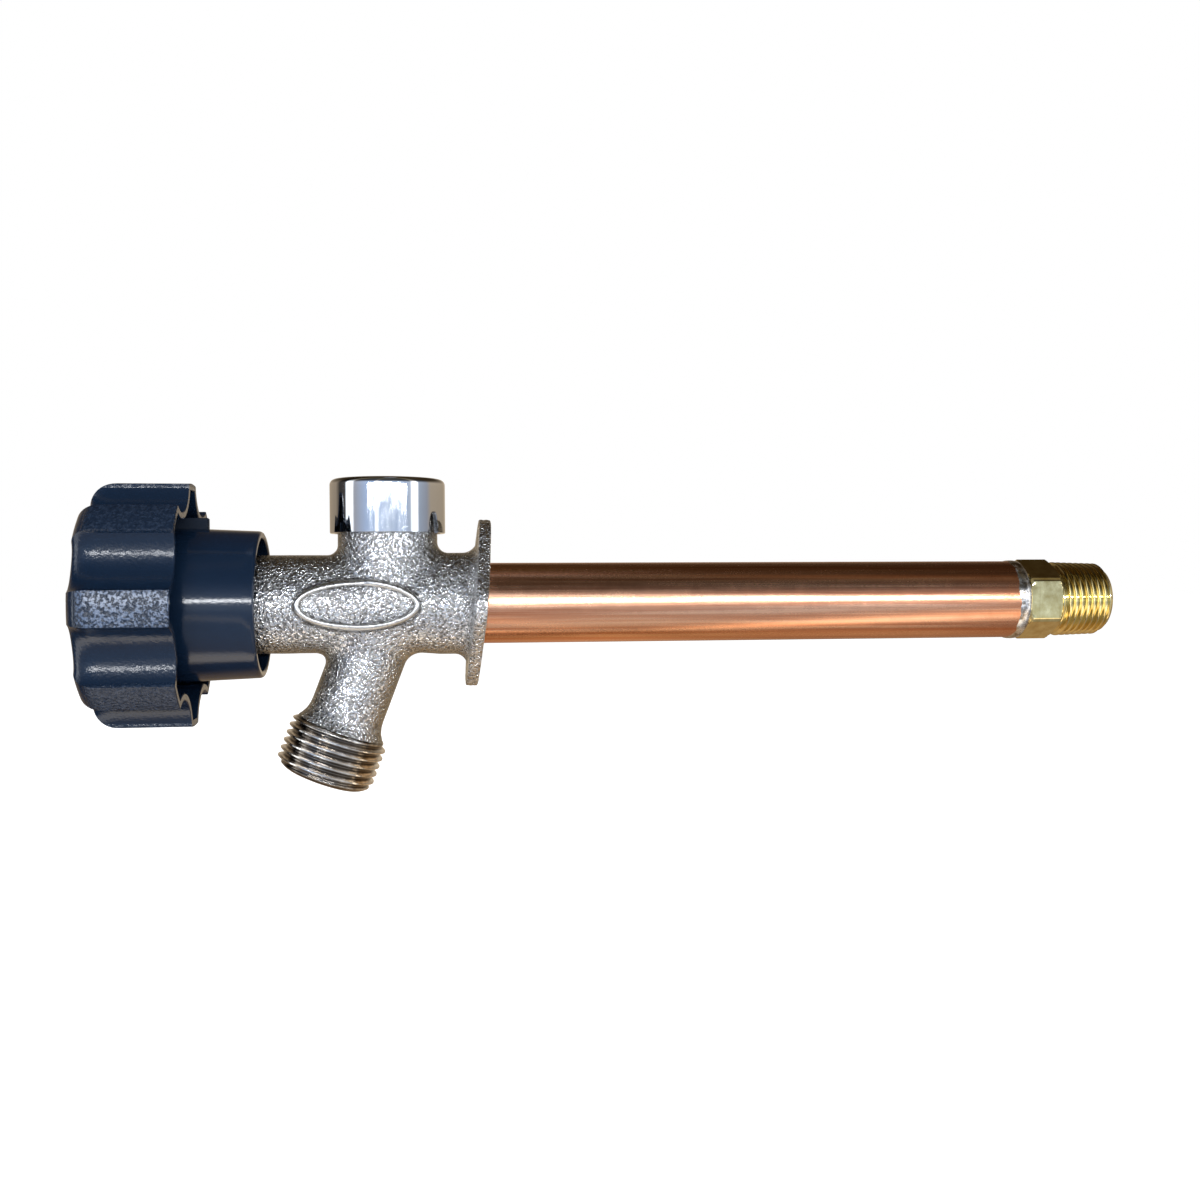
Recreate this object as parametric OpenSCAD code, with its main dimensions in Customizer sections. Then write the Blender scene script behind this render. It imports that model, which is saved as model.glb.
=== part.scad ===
// Frost free sillcock: eight lobed knob, plated body with a top vacuum breaker,
// slanted hose outlet and wall flange, long copper tube and brass inlet.
// Millimetres. X runs along the tube towards the inlet, Z is up.
// The origin is the centre of the flange's back face, on the tube axis.

/* [Copper tube] */
// Length from the flange's back face to the tube's far end
tube_reach = 152.4; // [127:0.1:355.6]
// Outer diameter of the tube
tube_d = 22.225; // [22:0.005:22.5]
// Wall of the tube
tube_wall = 1.14; // [1:0.01:1.25]

/* [Inlet fitting] */
// Width of the braze band between tube and hexagon
inlet_braze_w = 2.6; // [1.5:0.1:3.6]
// Hexagon across its flats
inlet_hex_af = 20.64; // [20.4:0.01:21.6]
// Hexagon across its turned corners
inlet_hex_corner_d = 23.2; // [22.7:0.1:23.8]
// Length of the hexagon
inlet_hex_len = 9.8; // [8:0.1:14]
// Length of the tapered pipe thread
npt_len = 16; // [15:0.1:19]
// Full outer diameter of the pipe thread
npt_d = 21.34; // [21.2:0.01:21.5]
// Pitch of the pipe thread
npt_pitch = 1.814; // [1.7:0.001:1.9]
// Bore of the solder socket
socket_d = 15.94; // [15.8:0.01:16.1]
// Depth of the solder socket
socket_depth = 12.7; // [11:0.1:14]
// Waterway between socket and seat
water_bore_d = 12; // [11.2:0.1:13]
// Length of the spigot that reaches back into the tube
spigot_len = 14.2; // [12:0.1:18]
// Outer diameter of the raised seat
seat_rim_d = 15; // [14.4:0.1:15.6]
// Bore of the seat
seat_hole_d = 11; // [10:0.1:11.6]

/* [Body casting] */
// Barrel diameter
barrel_d = 26.5; // [26:0.1:27.6]
// Barrel length in front of the flange's back face
barrel_len = 64; // [62:0.1:68]
// Diameter of the thicker end that holds the tube
rear_d = 27.9; // [27.2:0.1:29]
// Depth of the tube socket
tube_socket = 11.5; // [10:0.1:13]
// Distance of the vacuum breaker and spout from the flange's back face
branch_x = 26; // [24.5:0.1:28]
// Diameter of the vacuum breaker neck
neck_d = 26.8; // [26.2:0.1:27.6]
// Height of the neck's rim above the tube axis
neck_top = 29; // [28.4:0.1:30]
// Bore of the vacuum breaker well
well_d = 20; // [19.4:0.1:20.6]
// Slant of the spout from the vertical, in degrees
spout_tilt = 21; // [16:0.5:25]
// Outer diameter of the spout
spout_d = 20; // [19.2:0.1:21]
// Bore of the spout
spout_bore_d = 16; // [14:0.1:16.4]
// Distance of the spout's mouth from the tube axis
spout_reach = 50.7; // [47:0.1:56]
// Hose thread over its crests
hose_d = 26.9; // [26.6:0.01:27]
// Pitch of the hose thread
hose_pitch = 2.209; // [2.1:0.001:2.3]
// Length of the hose thread
hose_len = 14.2; // [13.6:0.1:15.2]

/* [Wall flange] */
// Thickness of the flange
flange_t = 3.2; // [2.8:0.1:4.4]
// Height of the flange
flange_h = 45.8; // [42:0.1:50]
// Lean of the flange, which makes the tube drain outwards, in degrees
flange_cant = 5; // [3:0.5:6]
// Distance between the two screw holes
screw_spacing = 50.8; // [48:0.1:56]
// Diameter of the screw holes
screw_hole_d = 5.6; // [4.8:0.1:6.4]
// Radius of the flange's ears
ear_r = 7; // [6.5:0.1:8]

/* [Oval badge] */
// Length of the raised oval on the barrel
oval_len = 33; // [30:0.1:35]
// Height of the raised oval
oval_h = 13.7; // [12:0.1:15]
// Width of the oval's rim
oval_rim = 0.9; // [0.6:0.1:1.4]
// Height of the oval's rim over the barrel and the neck
oval_lift = 0.5; // [0.3:0.05:0.7]

/* [Vacuum breaker] */
// Diameter of the chrome cap
cap_d = 31.1; // [30.6:0.1:32]
// Height of the cap
cap_h = 14.7; // [13.8:0.1:15.4]
// Wall of the cap
cap_wall = 1.2; // [1:0.05:1.4]
// Travel of the float
float_travel = 2.8; // [2:0.1:3.2]
// Diameter of the float
float_d = 17; // [16.4:0.1:18]
// Diameter of the float's guide stem
float_stem_d = 4; // [3.4:0.1:4.6]

/* [Bonnet and packing] */
// Thread of the bonnet in the barrel
bonnet_d = 20.6; // [20.2:0.1:21.2]
// Length of the bonnet inside the barrel
bonnet_len = 14; // [12:0.1:16]
// Hexagon of the packing nut across its flats
packing_af = 24; // [22.6:0.1:25.4]
// Diameter of the bonnet's neck inside the packing nut
packing_neck_d = 18; // [17.2:0.1:18.8]
// Bore of the packing chamber
packing_bore_d = 14; // [13.2:0.1:14.6]

/* [Stem and seat disc] */
// Diameter of the stem
stem_d = 9.5; // [9.2:0.05:9.8]
// Thread of the stem over its crests
stem_thread_d = 11.1; // [10.8:0.05:11.6]
// Length of the stem's threaded zone
stem_thread_len = 15; // [12:0.1:16]
// Travel of the stem from shut to fully open
stem_travel = 6; // [4:0.1:6.4]
// Running clearance round the stem, radial
stem_fit = 0.05; // [0.02:0.01:0.09]
// Square drive for the knob, across its flats
drive_af = 7; // [6.6:0.1:7.6]
// Diameter of the seat disc holder
holder_d = 17.2; // [17:0.1:18]
// Thickness of the seat washer
washer_t = 3; // [2.6:0.1:3.6]

/* [Knob] */
// Diameter over the lobes
knob_d = 65.1; // [60:0.1:70]
// Number of lobes
knob_lobes = 8; // [7:1:9]
// Depth of the flutes between the lobes
flute_depth = 5.5; // [4:0.1:6.5]
// Radius of the flutes
flute_r = 9.7; // [9:0.1:10.2]
// Length of the lobed rim along the stem
knob_len = 25.4; // [22:0.1:27]
// Wall of the lobed rim
knob_wall = 1.8; // [1.4:0.1:2.4]
// Radius of the rounded front edge
knob_round = 6.5; // [5:0.1:7]
// Diameter of the sleeve behind the lobes
skirt_d = 41.1; // [40.6:0.1:42]
// Diameter of the sleeve at its open end
skirt_end_d = 39.7; // [39:0.1:40.4]
// Bore of the sleeve
skirt_bore_d = 36; // [35:0.1:36.6]
// Length of barrel that the sleeve covers when the valve is shut
skirt_cover = 4.7; // [2:0.1:8]

/* [Hidden] */
$fn = 96;
slack = 0.05;
cut = 1;
lap = 0.6;
x_end = -barrel_len;
tube_r = tube_d / 2;
tube_ri = tube_r - tube_wall;
hex_x = tube_reach + inlet_braze_w;
npt_x = hex_x + inlet_hex_len;
inlet_end = npt_x + npt_len;
spigot_x = tube_reach - spigot_len;
seat_x = spigot_x - 1.2;
seat_gap = 0.02;
npt_end_r = npt_d / 2 - 0.31;
npt_depth = 1.2;
npt_count = floor((npt_len - 0.6) / npt_pitch);
hose_r = hose_d / 2;
hose_depth = 1.44;
hose_count = floor((hose_len - 0.8) / hose_pitch);
hose_edge = 1.1;
groove_x = -tube_socket;
braze_r = tube_r + 1.1;
braze_x = -(braze_r * sin(flange_cant) + 1.6);
braze_t = 1.2;
spout_turn = 180 + spout_tilt;
well_floor = 14;
orifice_r = 5.5;
insert_flange_z = neck_top;
insert_bottom = 21;
insert_flange_t = 1.5;
cap_top = neck_top + insert_flange_t + 1.9 + 1.5;
cap_bottom = cap_top - cap_h;
float_gap = 0.3;
float_t = 2;
seal_t = 1.6;
float_z = insert_bottom - float_travel - float_gap - seal_t - float_t;
float_hub_h = 3.6;
float_hub_r = 4;
float_pin_up = 4.4;
bonnet_hex_t = 3;
bonnet_x = x_end - bonnet_hex_t;
packing_neck_len = 8;
packing_floor = bonnet_x - 2;
packing_end = bonnet_x - packing_neck_len;
nut_x = packing_end - 4;
nut_reach = 5;
gland_x = packing_end - 2;
gland_t = 2.5;
thread_r = stem_thread_d / 2;
stem_r = stem_d / 2;
shoulder_x = nut_x - 4;
knob_x = skirt_cover + x_end - 18.3 - knob_len;
skirt_end_x = x_end + skirt_cover;
drive_x = knob_x + 5.5;
recess_x = knob_x + 5;
stem_thread_x = packing_floor + 1.6 + stem_travel;
holder_r = holder_d / 2;
washer_x = seat_x - washer_t - seat_gap;
holder_x = washer_x - 12;
holder_gap = 0.3;
ring_x0 = holder_x + 2.3;
ring_t = 1;
guide_x = holder_x - 24;
guide_len = 8;
knob_r = knob_d / 2;
lobe_cut_r = knob_r - flute_depth + flute_r;
hub_r = 10;
knob_recess_r = 7.5;
screw_head_r = 4.75;

// Solid between two stations on the X axis
module bar_x(x0, x1, r) {
    translate([x0, 0, 0]) rotate([0, 90, 0]) cylinder(h = x1 - x0, r = r);
}

// Ring between two stations on the X axis
module ring_x(x0, x1, ri, ro) {
    rotate([0, 90, 0]) rotate_extrude() polygon([[ri, x0], [ro, x0], [ro, x1], [ri, x1]]);
}

// Ring between two heights on the Z axis
module ring_z(z0, z1, ri, ro) {
    rotate_extrude() polygon([[ri, z0], [ro, z0], [ro, z1], [ri, z1]]);
}

// Round section ring whose axis is Z
module round_ring(r, section) {
    rotate_extrude() translate([r, 0]) circle(r = section, $fn = 48);
}

// Ribs of a parallel thread, one closed ring to each pitch, as a half profile
function thread_points(r, depth, pitch, count, start, total) =
    concat(
        [[r - depth - 1, 0], [r - depth, 0]],
        [for (i = [0:count - 1]) for (p = [
            [r - depth, start + i * pitch - 0.97],
            [r, start + i * pitch - 0.14],
            [r, start + i * pitch + 0.14],
            [r - depth, start + i * pitch + 0.97]
        ]) p],
        [[r - depth, total], [r - depth - 1, total]]
    );

// Radius of the tapered pipe thread at a distance from its small end
function npt_r(s) = min(npt_d / 2, npt_end_r + s / 32);

// Hexagonal prism along X with its corners turned down
module hex_x_prism(x0, x1, af, corner_d) {
    intersection() {
        translate([x0, 0, 0]) rotate([0, 90, 0])
            linear_extrude(height = x1 - x0) hexagon(af);
        ring_solid(x0, x1, corner_d / 2, 0.7);
    }
}

// Hexagon with a flat on each side of the part
module hexagon(af) {
    rotate(30) circle(r = af / 2 / cos(30), $fn = 6);
}

// Turned blank with small chamfers on both ends
module ring_solid(x0, x1, r, c) {
    rotate([0, 90, 0]) rotate_extrude()
        polygon([[0, x0], [r - c, x0], [r, x0 + c], [r, x1 - c], [r - c, x1], [0, x1]]);
}

// Four centred oval, made of two end arcs and two flank arcs
module oval(a, b, inset) {
    r1 = 0.62 * b;
    c = a - r1;
    big = (c * c + b * b - r1 * r1) / (2 * (b - r1));
    tx = c * big / (big - r1);
    for (s = [-1, 1]) translate([s * c, 0]) circle(r = r1 - inset);
    intersection() {
        translate([0, b - big]) circle(r = big - inset, $fn = 240);
        translate([0, big - b]) circle(r = big - inset, $fn = 240);
        square([2 * tx, 4 * b], center = true);
    }
}

module flange_shape() {
    big = flange_h / 2;
    reach = screw_spacing / 2;
    t = acos((big - ear_r) / reach);
    circle(r = big);
    for (s = [-1, 1]) {
        translate([0, s * reach]) circle(r = ear_r);
        polygon([
            [-big * sin(t), s * big * cos(t)],
            [big * sin(t), s * big * cos(t)],
            [ear_r * sin(t), s * (reach + ear_r * cos(t))],
            [-ear_r * sin(t), s * (reach + ear_r * cos(t))]
        ]);
    }
}

module flange() {
    rotate([0, flange_cant, 0]) {
        translate([-flange_t, 0, 0]) rotate([0, 90, 0])
            linear_extrude(height = flange_t) flange_shape();
        rotate([0, 90, 0]) rotate_extrude() difference() {
            translate([rear_d / 2 - 2, -flange_t - 4]) square([6, 5]);
            translate([rear_d / 2 + 4, -flange_t - 4]) circle(r = 4);
        }
    }
}

module spout_outside() {
    root = hose_r - hose_depth;
    z1 = spout_reach - hose_len;
    cylinder(h = spout_reach - 1, r = spout_d / 2);
    rotate_extrude() polygon([
        [0, z1 - 3.4], [spout_d / 2 - 0.2, z1 - 3.4], [spout_d / 2 + 0.4, z1 - 2],
        [root, z1], [root, spout_reach - 0.7], [root - 0.7, spout_reach], [0, spout_reach]
    ]);
    translate([0, 0, spout_reach]) mirror([0, 0, 1]) rotate_extrude()
        polygon(thread_points(hose_r, hose_depth, hose_pitch, hose_count, hose_edge + 0.6, hose_len));
}

module body_outside() {
    bar_x(x_end, 0, barrel_d / 2);
    rotate([0, 90, 0]) rotate_extrude() polygon([
        [0, -tube_socket - 1.6], [barrel_d / 2, -tube_socket - 1.6],
        [rear_d / 2, -tube_socket], [rear_d / 2, 0.6], [0, 0.6]
    ]);
    flange();
    translate([-branch_x, 0, 0]) cylinder(h = neck_top, r = neck_d / 2);
    translate([-branch_x, 0, 0]) rotate([0, spout_turn, 0]) spout_outside();
    intersection() {
        translate([-branch_x - 7.7, 0, 0]) rotate([90, 0, 0])
            linear_extrude(height = 20) difference() {
                oval(oval_len / 2, oval_h / 2, 0);
                oval(oval_len / 2, oval_h / 2, oval_rim);
            }
        union() {
            bar_x(x_end, 0, barrel_d / 2 + oval_lift);
            translate([-branch_x, 0, 0]) cylinder(h = oval_h, r = neck_d / 2 + oval_lift);
        }
    }
}

module valve_body() {
    color([0.72, 0.7, 0.66]) difference() {
        body_outside();
        bar_x(x_end - cut, groove_x + cut, tube_ri - 0.02);
        bar_x(x_end - cut, x_end + bonnet_len + 1, bonnet_d / 2 + slack);
        bar_x(x_end - cut, x_end + 1.8, bonnet_d / 2 + slack + 1.8);
        bar_x(groove_x, 12, tube_r + slack);
        bar_x(braze_x, 12, braze_r);
        translate([-branch_x, 0, well_floor]) cylinder(h = neck_top, r = well_d / 2);
        translate([-branch_x, 0, 0]) cylinder(h = neck_top, r = orifice_r);
        translate([-branch_x, 0, 0]) rotate([0, spout_turn, 0])
            cylinder(h = spout_reach + cut, r = spout_bore_d / 2);
        rotate([0, flange_cant, 0]) {
            translate([0, -60, -60]) cube([30, 120, 120]);
            for (s = [-1, 1]) translate([0, s * screw_spacing / 2, 0])
                bar_x(-20, 10, screw_hole_d / 2);
        }
    }
}

module copper_tube() {
    color([0.78, 0.42, 0.26]) ring_x(groove_x, tube_reach, tube_ri, tube_r);
}

module body_braze_ring() {
    color([0.8, 0.78, 0.72]) ring_x(braze_x, braze_x + braze_t, tube_r + 0.02, braze_r);
}

module inlet_braze_ring() {
    color([0.83, 0.8, 0.72]) rotate([0, 90, 0]) rotate_extrude() polygon([
        [tube_ri, tube_reach], [tube_r, tube_reach], [tube_r + 0.2, tube_reach + 0.3 * inlet_braze_w],
        [tube_r + 0.2, tube_reach + 0.7 * inlet_braze_w], [tube_r, hex_x], [tube_ri, hex_x]
    ]);
}

module npt_ribs() {
    points = concat(
        [[npt_end_r - npt_depth - 0.6, 0], [npt_end_r - npt_depth, 0]],
        [for (i = [0:npt_count - 1]) for (p = [[-0.8, 1], [-0.1, 0], [0.1, 0], [0.8, 1]])
            [npt_r(1.4 + i * npt_pitch) - p[1] * npt_depth, 1.4 + i * npt_pitch + p[0]]],
        [[npt_d / 2 - npt_depth, npt_len], [npt_end_r - npt_depth - 0.6, npt_len]]
    );
    rotate([0, 90, 0]) translate([0, 0, inlet_end]) mirror([0, 0, 1])
        rotate_extrude() polygon(points);
}

module inlet_fitting() {
    color([0.84, 0.66, 0.36]) difference() {
        union() {
            ring_x(spigot_x, hex_x + lap, 4, tube_ri - 0.07);
            ring_x(seat_x, spigot_x + lap, seat_hole_d / 2, seat_rim_d / 2);
            hex_x_prism(hex_x, npt_x, inlet_hex_af, inlet_hex_corner_d);
            ring_x(npt_x - lap, inlet_end, 4, npt_end_r - npt_depth - 0.2);
            npt_ribs();
        }
        bar_x(seat_x - cut, spigot_x + 4, seat_hole_d / 2);
        bar_x(spigot_x + 4, inlet_end + cut, water_bore_d / 2);
        bar_x(inlet_end - socket_depth, inlet_end + cut, socket_d / 2);
    }
}

module bonnet() {
    color([0.8, 0.62, 0.34]) difference() {
        union() {
            bar_x(packing_end, bonnet_x + lap, packing_neck_d / 2);
            hex_x_prism(bonnet_x, x_end, packing_af, packing_af / cos(30) - 0.8);
            bar_x(x_end - lap, x_end + bonnet_len, bonnet_d / 2);
        }
        bar_x(packing_end - cut, packing_floor, packing_bore_d / 2);
        bar_x(packing_end, x_end + bonnet_len + cut, thread_r + stem_fit);
    }
}

module bonnet_oring() {
    color([0.07, 0.07, 0.07]) translate([x_end + 0.9, 0, 0]) rotate([0, 90, 0])
        round_ring(bonnet_d / 2 + slack + 0.9, 0.9);
}

module packing_nut() {
    color([0.8, 0.62, 0.34]) difference() {
        hex_x_prism(nut_x, packing_end + nut_reach, packing_af, packing_af / cos(30) - 0.6);
        bar_x(gland_x, packing_end + nut_reach + cut, packing_neck_d / 2 + slack);
        bar_x(nut_x - cut, gland_x + cut, stem_r + 0.45);
    }
}

module packing_washer() {
    color([0.78, 0.6, 0.34]) ring_x(gland_x, gland_x + gland_t, stem_r + 0.3, packing_bore_d / 2 - 0.1);
}

module packing_ring() {
    color([0.12, 0.12, 0.12]) ring_x(gland_x + gland_t, packing_floor, stem_r + stem_fit,
        packing_bore_d / 2 - slack);
}

module operating_stem() {
    color([0.76, 0.6, 0.36]) difference() {
        union() {
            intersection() {
                bar_x(drive_x, shoulder_x + lap, stem_r);
                translate([drive_x, -drive_af / 2, -drive_af / 2])
                    cube([shoulder_x - drive_x + lap, drive_af, drive_af]);
            }
            bar_x(shoulder_x, guide_x, stem_r);
            bar_x(stem_thread_x, stem_thread_x + stem_thread_len, thread_r);
            bar_x(guide_x - lap, guide_x + guide_len + lap, stem_r - 0.3);
            bar_x(guide_x + guide_len, holder_x - holder_gap, stem_r);
            bar_x(holder_x - holder_gap - lap, holder_x + 5.2, 3);
        }
        ring_x(ring_x0 - holder_gap, ring_x0 + ring_t + holder_gap, 2.3, 4);
        bar_x(drive_x - cut, drive_x + 10, 2.1);
    }
}

module stem_guide() {
    color([0.9, 0.9, 0.88]) {
        difference() {
            union() {
                bar_x(guide_x, guide_x + guide_len, stem_r + 1.2);
                intersection() {
                    bar_x(guide_x, guide_x + guide_len, tube_ri - 0.1);
                    for (a = [0, 120, 240]) rotate([a, 0, 0])
                        translate([guide_x, -1, 2]) cube([guide_len, 2, 9]);
                }
            }
            bar_x(guide_x - cut, guide_x + guide_len + cut, stem_r - 0.28);
        }
    }
}

module seat_disc_holder() {
    color([0.78, 0.6, 0.34]) difference() {
        union() {
            bar_x(holder_x, washer_x, holder_r);
            ring_x(washer_x - lap, washer_x + 1.7, holder_r - 0.55, holder_r);
        }
        bar_x(holder_x - cut, holder_x + 5.5, 3 + stem_fit);
        bar_x(ring_x0, ring_x0 + ring_t, 4.45);
        bar_x(washer_x - 5, washer_x + cut, 1.7);
    }
}

module swivel_ring() {
    color([0.6, 0.6, 0.6]) ring_x(ring_x0, ring_x0 + ring_t, 2.6, 4.4);
}

module seat_washer() {
    color([0.08, 0.08, 0.08]) ring_x(washer_x, washer_x + washer_t, 1.75, holder_r - 0.6);
}

module seat_screw() {
    color([0.8, 0.62, 0.34]) difference() {
        union() {
            bar_x(washer_x - 4.8, washer_x + washer_t + lap, 1.65);
            bar_x(washer_x + washer_t, washer_x + washer_t + 2, 3.4);
        }
        translate([washer_x + washer_t + 1, -0.5, -5]) cube([3, 1, 10]);
    }
}

module lobed_shape(inset) {
    difference() {
        circle(r = knob_r - inset, $fn = 180);
        for (i = [0:knob_lobes - 1]) rotate(180 / knob_lobes + i * 360 / knob_lobes)
            translate([lobe_cut_r, 0]) circle(r = flute_r + inset);
    }
}

module knob_blank() {
    intersection() {
        translate([knob_x, 0, 0]) rotate([0, 90, 0])
            linear_extrude(height = knob_len) lobed_shape(0);
        rotate([0, 90, 0]) rotate_extrude() {
            square_from(0, knob_x, knob_r - knob_round, knob_x + knob_len);
            square_from(0, knob_x + knob_round, knob_r + 1, knob_x + knob_len);
            translate([knob_r - knob_round, knob_x + knob_round]) circle(r = knob_round);
        }
    }
}

// Rectangle between two corners
module square_from(x0, y0, x1, y1) {
    translate([x0, y0]) square([x1 - x0, y1 - y0]);
}

module knob() {
    face = 3.4;
    color([0.06, 0.09, 0.17]) difference() {
        union() {
            difference() {
                knob_blank();
                translate([knob_x + face + 3, 0, 0]) rotate([0, 90, 0])
                    linear_extrude(height = knob_len) lobed_shape(knob_wall);
                bar_x(knob_x + face, knob_x + face + 4, knob_r - flute_depth - knob_wall - 0.6);
                ring_x(knob_x - cut, knob_x + 1.2, hub_r + 1.5, knob_r - flute_depth - 5);
            }
            bar_x(knob_x + 0.6, shoulder_x, hub_r);
            rotate([0, 90, 0]) rotate_extrude() polygon([
                [skirt_bore_d / 2, knob_x + 3], [skirt_d / 2, knob_x + 3],
                [skirt_d / 2, knob_x + knob_len], [skirt_end_d / 2, skirt_end_x - 0.5],
                [skirt_end_d / 2 - 0.5, skirt_end_x], [skirt_bore_d / 2, skirt_end_x]
            ]);
            translate([knob_x + 3, -1.1, skirt_bore_d / 2 + 0.6])
                cube([knob_len + 1.2, 2.2, 4.8]);
        }
        bar_x(knob_x - cut, recess_x, knob_recess_r);
        intersection() {
            bar_x(recess_x - cut, shoulder_x + cut, stem_r + 0.05);
            translate([recess_x - cut, -drive_af / 2 - 0.05, -drive_af / 2 - 0.05])
                cube([shoulder_x - recess_x + 2 * cut, drive_af + 0.1, drive_af + 0.1]);
        }
    }
}

module knob_washer() {
    color([0.75, 0.75, 0.75]) ring_x(recess_x - 1, recess_x, 2.3, 6);
}

module knob_screw() {
    head_x = recess_x - 1;
    color([0.75, 0.75, 0.75]) difference() {
        union() {
            ring_solid(head_x - 2.8, head_x, screw_head_r, 0.6);
            bar_x(head_x - lap, drive_x + 9, 2.05);
        }
        for (a = [0, 90]) rotate([a, 0, 0])
            translate([head_x - 3, -0.5, -2.6]) cube([1.8, 1, 5.2]);
    }
}

// Cup with a rounded top edge and the collar that grips the insert's crown
module cap_cup() {
    r = cap_d / 2;
    k = 1.6;
    difference() {
        rotate_extrude() {
            square_from(0, cap_bottom, r - k, cap_top);
            square_from(0, cap_bottom, r, cap_top - k);
            translate([r - k, cap_top - k]) circle(r = k);
        }
        ring_z(cap_bottom - cut, cap_top - 1.5, 0, r - cap_wall);
    }
    ring_z(cap_top - 2.9, cap_top - 1.2, 8 + slack, 9.4);
}

module vb_cap() {
    color([0.82, 0.83, 0.85]) translate([-branch_x, 0, 0]) difference() {
        cap_cup();
        for (a = [-36.5, 143.5]) rotate([0, 0, a]) {
            translate([10, -2, cap_bottom - 1]) cube([10, 4, 4.6]);
            translate([10, 0, cap_bottom + 3.6]) rotate([0, 90, 0]) cylinder(h = 10, r = 2);
        }
    }
}

module vb_bonnet() {
    base = insert_flange_z + insert_flange_t;
    bottom = insert_bottom;
    hole = float_stem_d / 2 + 0.08;
    plug = well_d / 2 - slack;
    groove = well_d / 2 - 1.8;
    rim = neck_d / 2 - 0.6;
    z = insert_flange_z;
    top = cap_top - 1.5;
    color([0.8, 0.62, 0.34]) translate([-branch_x, 0, 0]) difference() {
        rotate_extrude() polygon([
            [hole, bottom], [plug, bottom], [plug, z - 2.8], [groove, z - 2.8], [groove, z - 1],
            [plug, z - 1], [plug, z], [rim, z], [rim, base], [8, base], [8, top], [6.8, top],
            [6.8, base], [hole, base]
        ]);
        for (a = [0:60:300]) rotate([0, 0, a]) translate([5, 0, bottom - cut])
            cylinder(h = 12, r = 1.4);
        for (a = [30, 120]) rotate([0, 0, a])
            translate([-12, -2.2, base + 0.3]) cube([24, 4.4, 5]);
    }
}

module vb_bonnet_oring() {
    color([0.07, 0.07, 0.07]) translate([-branch_x, 0, insert_flange_z - 1.9])
        round_ring(well_d / 2 - 0.9, 0.9);
}

module vb_float() {
    color([0.88, 0.88, 0.85]) translate([-branch_x, 0, 0]) {
        ring_z(float_z, float_z + float_t, 0, float_d / 2);
        ring_z(float_z - float_hub_h, float_z + lap, 0, float_hub_r);
        ring_z(float_z + lap, float_z + float_t + seal_t, 0, 3.4);
        ring_z(float_z + lap, insert_bottom + float_pin_up, 0, float_stem_d / 2);
    }
}

module vb_seal() {
    color([0.09, 0.09, 0.09]) translate([-branch_x, 0, 0])
        ring_z(float_z + float_t, float_z + float_t + seal_t, 3.42, float_d / 2 - 0.4);
}

valve_body();
copper_tube();
body_braze_ring();
inlet_fitting();
inlet_braze_ring();
bonnet();
bonnet_oring();
packing_nut();
packing_washer();
packing_ring();
operating_stem();
stem_guide();
seat_disc_holder();
swivel_ring();
seat_washer();
seat_screw();
knob();
knob_washer();
knob_screw();
vb_cap();
vb_bonnet();
vb_bonnet_oring();
vb_float();
vb_seal();
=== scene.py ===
import math

import bmesh
import bpy
import numpy as np
from mathutils import Matrix, Vector


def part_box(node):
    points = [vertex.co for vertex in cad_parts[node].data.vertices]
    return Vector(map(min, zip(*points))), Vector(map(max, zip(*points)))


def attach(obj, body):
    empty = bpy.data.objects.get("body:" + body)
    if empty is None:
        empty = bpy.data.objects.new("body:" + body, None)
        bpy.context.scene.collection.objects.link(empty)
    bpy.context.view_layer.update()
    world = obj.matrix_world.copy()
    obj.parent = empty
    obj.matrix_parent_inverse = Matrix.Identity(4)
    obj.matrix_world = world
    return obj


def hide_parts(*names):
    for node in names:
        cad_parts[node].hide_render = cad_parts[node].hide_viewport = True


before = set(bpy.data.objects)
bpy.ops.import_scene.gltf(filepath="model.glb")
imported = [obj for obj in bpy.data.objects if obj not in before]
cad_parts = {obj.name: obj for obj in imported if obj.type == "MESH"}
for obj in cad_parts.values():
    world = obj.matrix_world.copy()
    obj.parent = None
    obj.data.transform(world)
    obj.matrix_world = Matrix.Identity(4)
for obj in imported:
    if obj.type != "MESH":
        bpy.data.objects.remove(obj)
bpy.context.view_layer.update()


# Camera
# The tap is seen from its side, almost level and from close by, so that the knob shows the inside
# of its rim and the far end of the tube recedes to the right.
camera = bpy.data.objects.new("Camera", bpy.data.cameras.new("Camera"))
bpy.context.scene.collection.objects.link(camera)
bpy.context.scene.camera = camera
bpy.context.scene.view_settings.view_transform = "Standard"
camera.data.sensor_width = 36
camera.data.lens = 37.4
camera.location = (-0.0132, -0.3464, 0.0086)
camera_aim = Vector((0.0325, 0, 0.0006)) - camera.location
camera_roll = Matrix.Rotation(math.radians(-0.24), 3, "Z").to_quaternion()
camera.rotation_euler = (camera_aim.to_track_quat("-Z", "Y") @ camera_roll).to_euler()


# Stage and light
# A pale seamless floor, a strip lamp, soft lamps and a faint grey world. Polished metal mirrors a
# surround that only glossy rays see: bright round the horizon, dark above, beige below, brown
# behind, and pale blue with white strips in front.
FLOOR_Z = -0.13
MIDDLE = (0.05, 0, 0)


class Sock:
    """One output of a node, with the arithmetic that makes Math nodes."""

    def __init__(self, tree, out):
        self.tree, self.out = tree, out

    def math(self, operation, *others):
        node = self.tree.nodes.new("ShaderNodeMath")
        node.operation = operation
        for socket, value in zip(node.inputs, (self, *others)):
            plug(self.tree, socket, value)
        return Sock(self.tree, node.outputs[0])

    def __add__(self, other):
        return self.math("ADD", other)

    def __sub__(self, other):
        return self.math("SUBTRACT", other)

    def __rsub__(self, other):
        return (self * -1) + other

    def __mul__(self, other):
        return self.math("MULTIPLY", other)

    def __truediv__(self, other):
        return self.math("DIVIDE", other)

    __radd__ = __add__
    __rmul__ = __mul__


def plug(tree, socket, value):
    if isinstance(value, Sock):
        tree.links.new(value.out, socket)
    else:
        socket.default_value = value


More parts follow.
